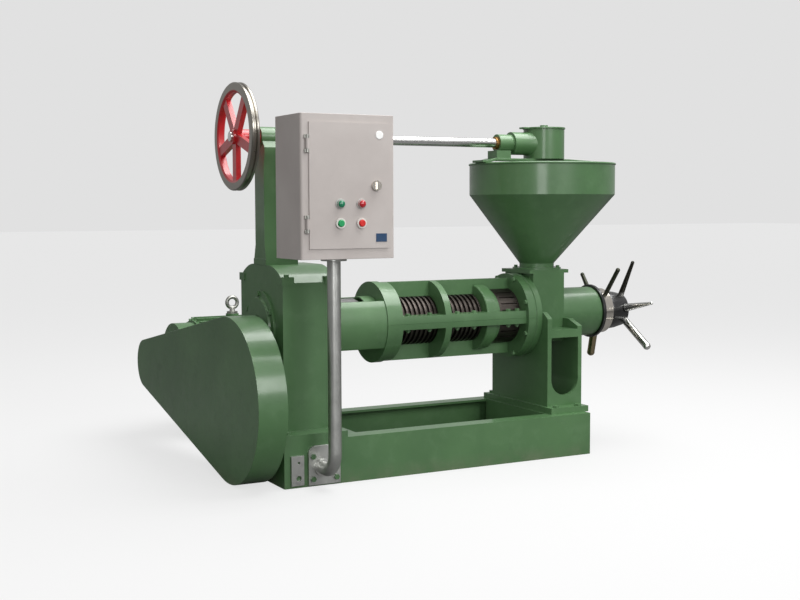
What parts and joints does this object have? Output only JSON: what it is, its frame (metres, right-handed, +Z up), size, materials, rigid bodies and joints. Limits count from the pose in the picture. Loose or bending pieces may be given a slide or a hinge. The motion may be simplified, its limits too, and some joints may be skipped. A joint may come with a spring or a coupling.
{
  "type": "screw oil press",
  "caption": "Screw oil press: geared worm shaft in a split barrel, belt drive, seed hopper with shaft-driven stirrer, choke adjuster and a control box on a pole.",
  "frame": {"origin": "centre of the four anchor holes, on the floor plane", "axes": "+Z up; +X along the pressing axis from the gearbox to the adjusting end; the control box stands on the -Y side"},
  "size_m": [1.566, 1.448, 1.219],
  "materials": {
    "green": "satin green machine enamel",
    "bearing_steel": "ground steel",
    "zinc": "zinc-plated",
    "bronze": "machined bronze",
    "dark_steel": "hardened steel, oiled",
    "black_rubber": "matt",
    "cabinet_grey": "fine powder coat",
    "galvanised": "galvanised",
    "chrome": "polished",
    "lamp_lens": "coloured lens",
    "bezel_grey": "moulded",
    "green_plastic": "moulded",
    "red_plastic": "moulded",
    "gear_steel": "hobbed and oiled",
    "cast_grey": "machined",
    "bright_steel": "turned bright",
    "red_paint": "gloss red",
    "black_iron": "black gloss"
  },
  "bodies": {
    "frame": {"base_frame": "green", "motor_base": "green", "gearbox_housing": "green", "gearbox_cover": "green", "shaft_bearings": "bearing_steel", "bearing_covers": "green", "frame_bolts": "zinc", "shaft_post": "green", "feeder_bushes": "bronze", "pedestal": "green", "feed_housing": "green", "cage_upper_half": "green", "cage_lower_half": "green", "cage_bolts": "zinc", "press_rings": "dark_steel", "press_bars": "dark_steel", "spacer_ring": "green", "discharge_frame": "green", "cake_ring": "green", "adjusting_sleeve": "green", "dust_ring": "black_rubber", "hopper": "green", "hopper_bridge": "green", "bevel_housing": "green", "gear_cover_lid": "green", "belt_guard": "green", "motor_frame": "green", "motor_fan_cover": "green", "terminal_box": "green", "motor_eye_bolt": "zinc", "control_box": "cabinet_grey", "hinge_pins": "zinc", "pole": "galvanised", "pole_brackets": "galvanised", "v_belts": "black_rubber"},
    "thrust": {"thrust_sleeve": "bearing_steel"},
    "door": {"control_door": "cabinet_grey", "signal_lamps": "lamp_lens", "button_bezels": "bezel_grey"},
    "lock": {"door_lock": "chrome"},
    "start_push": {"start_button": "green_plastic"},
    "stop_push": {"stop_button": "red_plastic"},
    "press_shaft": {"main_shaft": "bearing_steel", "worms": "dark_steel"},
    "bull": {"bull_gear": "gear_steel"},
    "input": {"input_shaft": "bearing_steel", "large_pulley": "cast_grey"},
    "middle": {"intermediate_shaft": "bearing_steel", "intermediate_gear": "gear_steel"},
    "rotor": {"motor_rotor": "bearing_steel", "motor_pulley": "cast_grey"},
    "feeder": {"feeder_shaft": "bright_steel", "handwheel": "red_paint", "bevel_pinion": "gear_steel"},
    "stirrer": {"agitator": "bearing_steel", "bevel_gear": "gear_steel"},
    "hub": {"adjusting_hub": "black_iron", "hub_handles": "bright_steel"},
    "lock_nut": {"lock_ring": "chrome", "lock_handles": "chrome"}
  },
  "joints": [
    {"name": "input_turn", "type": "hinge", "parent": "frame", "child": "input", "pos_m": [-0.5, -0.102, 0.257], "axis": [1, 0, 0], "continuous": true},
    {"name": "middle_turn", "type": "hinge", "parent": "frame", "child": "middle", "pos_m": [-0.45, 0.03207, 0.2798], "axis": [1, 0, 0], "continuous": true},
    {"name": "bull_turn", "type": "hinge", "parent": "frame", "child": "bull", "pos_m": [-0.42, 0, 0.462], "axis": [1, 0, 0], "continuous": true},
    {"name": "press_turn", "type": "hinge", "parent": "thrust", "child": "press_shaft", "pos_m": [0.6, 0, 0.462], "axis": [1, 0, 0], "continuous": true},
    {"name": "rotor_turn", "type": "hinge", "parent": "frame", "child": "rotor", "pos_m": [-0.4, 0.765, 0.275], "axis": [1, 0, 0], "continuous": true},
    {"name": "thrust_travel", "type": "slide", "parent": "frame", "child": "thrust", "axis": [1, 0, 0], "range_m": [-0.003, 0.009]},
    {"name": "hub_turn", "type": "hinge", "parent": "thrust", "child": "hub", "pos_m": [0.7, 0, 0.462], "axis": [1, 0, 0], "range_deg": [-180, 540]},
    {"name": "lock_ring_turn", "type": "hinge", "parent": "frame", "child": "lock_nut", "pos_m": [0.76, 0, 0.462], "axis": [1, 0, 0], "range_deg": [-40, 40]},
    {"name": "feeder_turn", "type": "hinge", "parent": "frame", "child": "feeder", "pos_m": [-0.5, 0, 1.054], "axis": [1, 0, 0], "continuous": true},
    {"name": "stirrer_turn", "type": "hinge", "parent": "frame", "child": "stirrer", "pos_m": [0.533, 0, 1], "axis": [0, 0, 1], "continuous": true},
    {"name": "door_turn", "type": "hinge", "parent": "frame", "child": "door", "pos_m": [-0.561, -0.436, 0.9], "axis": [0, 0, -1], "range_deg": [0, 110]},
    {"name": "door_lock_turn", "type": "hinge", "parent": "door", "child": "lock", "pos_m": [-0.346, -0.434, 0.899], "axis": [0, 1, 0], "range_deg": [0, 90]},
    {"name": "start_press", "type": "slide", "parent": "door", "child": "start_push", "axis": [0, 1, 0], "range_m": [0, 0.003], "stiffness_N_per_m": 400, "springref_m": -0.001},
    {"name": "stop_press", "type": "slide", "parent": "door", "child": "stop_push", "axis": [0, 1, 0], "range_m": [0, 0.003], "stiffness_N_per_m": 400, "springref_m": -0.001}
  ],
  "couplings": [
    {"joint": "middle_turn", "follows": "input_turn", "ratio": -0.36},
    {"joint": "bull_turn", "follows": "input_turn", "ratio": 0.09931},
    {"joint": "press_turn", "follows": "input_turn", "ratio": 0.09931},
    {"joint": "rotor_turn", "follows": "input_turn", "ratio": 3.6916},
    {"joint": "stirrer_turn", "follows": "feeder_turn", "ratio": -0.66667},
    {"joint": "thrust_travel", "follows": "hub_turn", "m_per_rad": 0.00095493}
  ]
}
